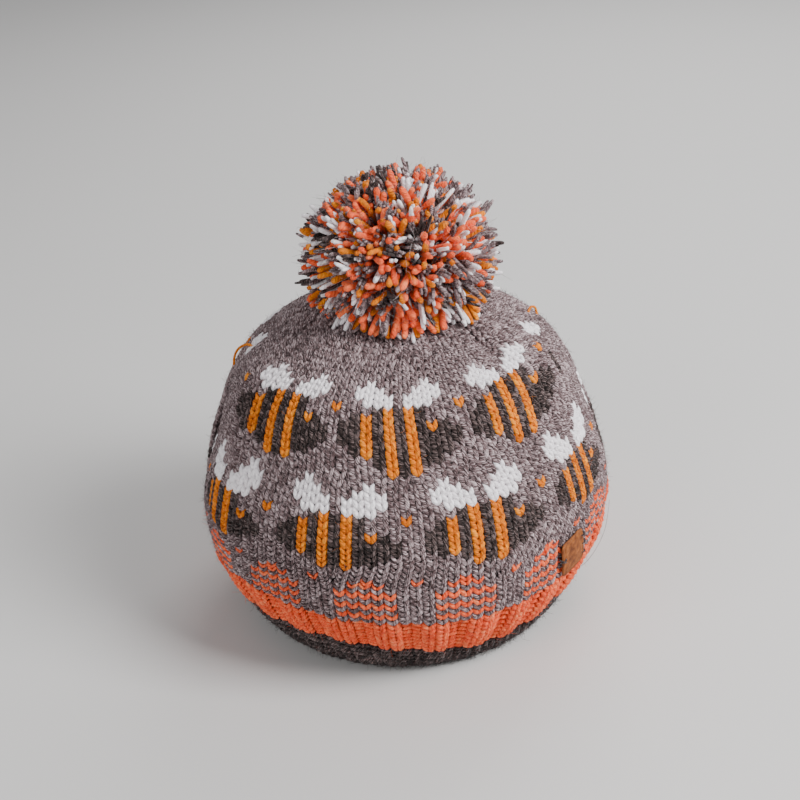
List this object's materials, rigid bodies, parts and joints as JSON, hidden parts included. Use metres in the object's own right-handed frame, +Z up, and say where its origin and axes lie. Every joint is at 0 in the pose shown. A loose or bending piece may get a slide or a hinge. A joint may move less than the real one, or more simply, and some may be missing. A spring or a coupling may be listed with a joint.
{
  "type": "tea cosy",
  "caption": "Hollow knitted tea cosy with a ribbed hem, a slot on each side for spout and handle, a gathered crown, a yarn pompom and a leather tag.",
  "frame": {"origin": "middle of the hem ring, on the surface that the cosy rests on", "axes": "+Z up through the crown, -Y the front panel, -X the spout slot, +X the handle slot"},
  "size_m": [0.1854, 0.1839, 0.2048],
  "materials": {
    "grey_wool": "fuzzy heathered knit wool with coloured motifs",
    "pompom_wool": "cut yarn ends in coral, ochre, white and grey",
    "tan_leather": "smooth tan leather with a pressed border line"
  },
  "bodies": {
    "root": {"knit_body": "grey_wool", "pompom": "pompom_wool", "leather_tag": "tan_leather"}
  },
  "joints": []
}
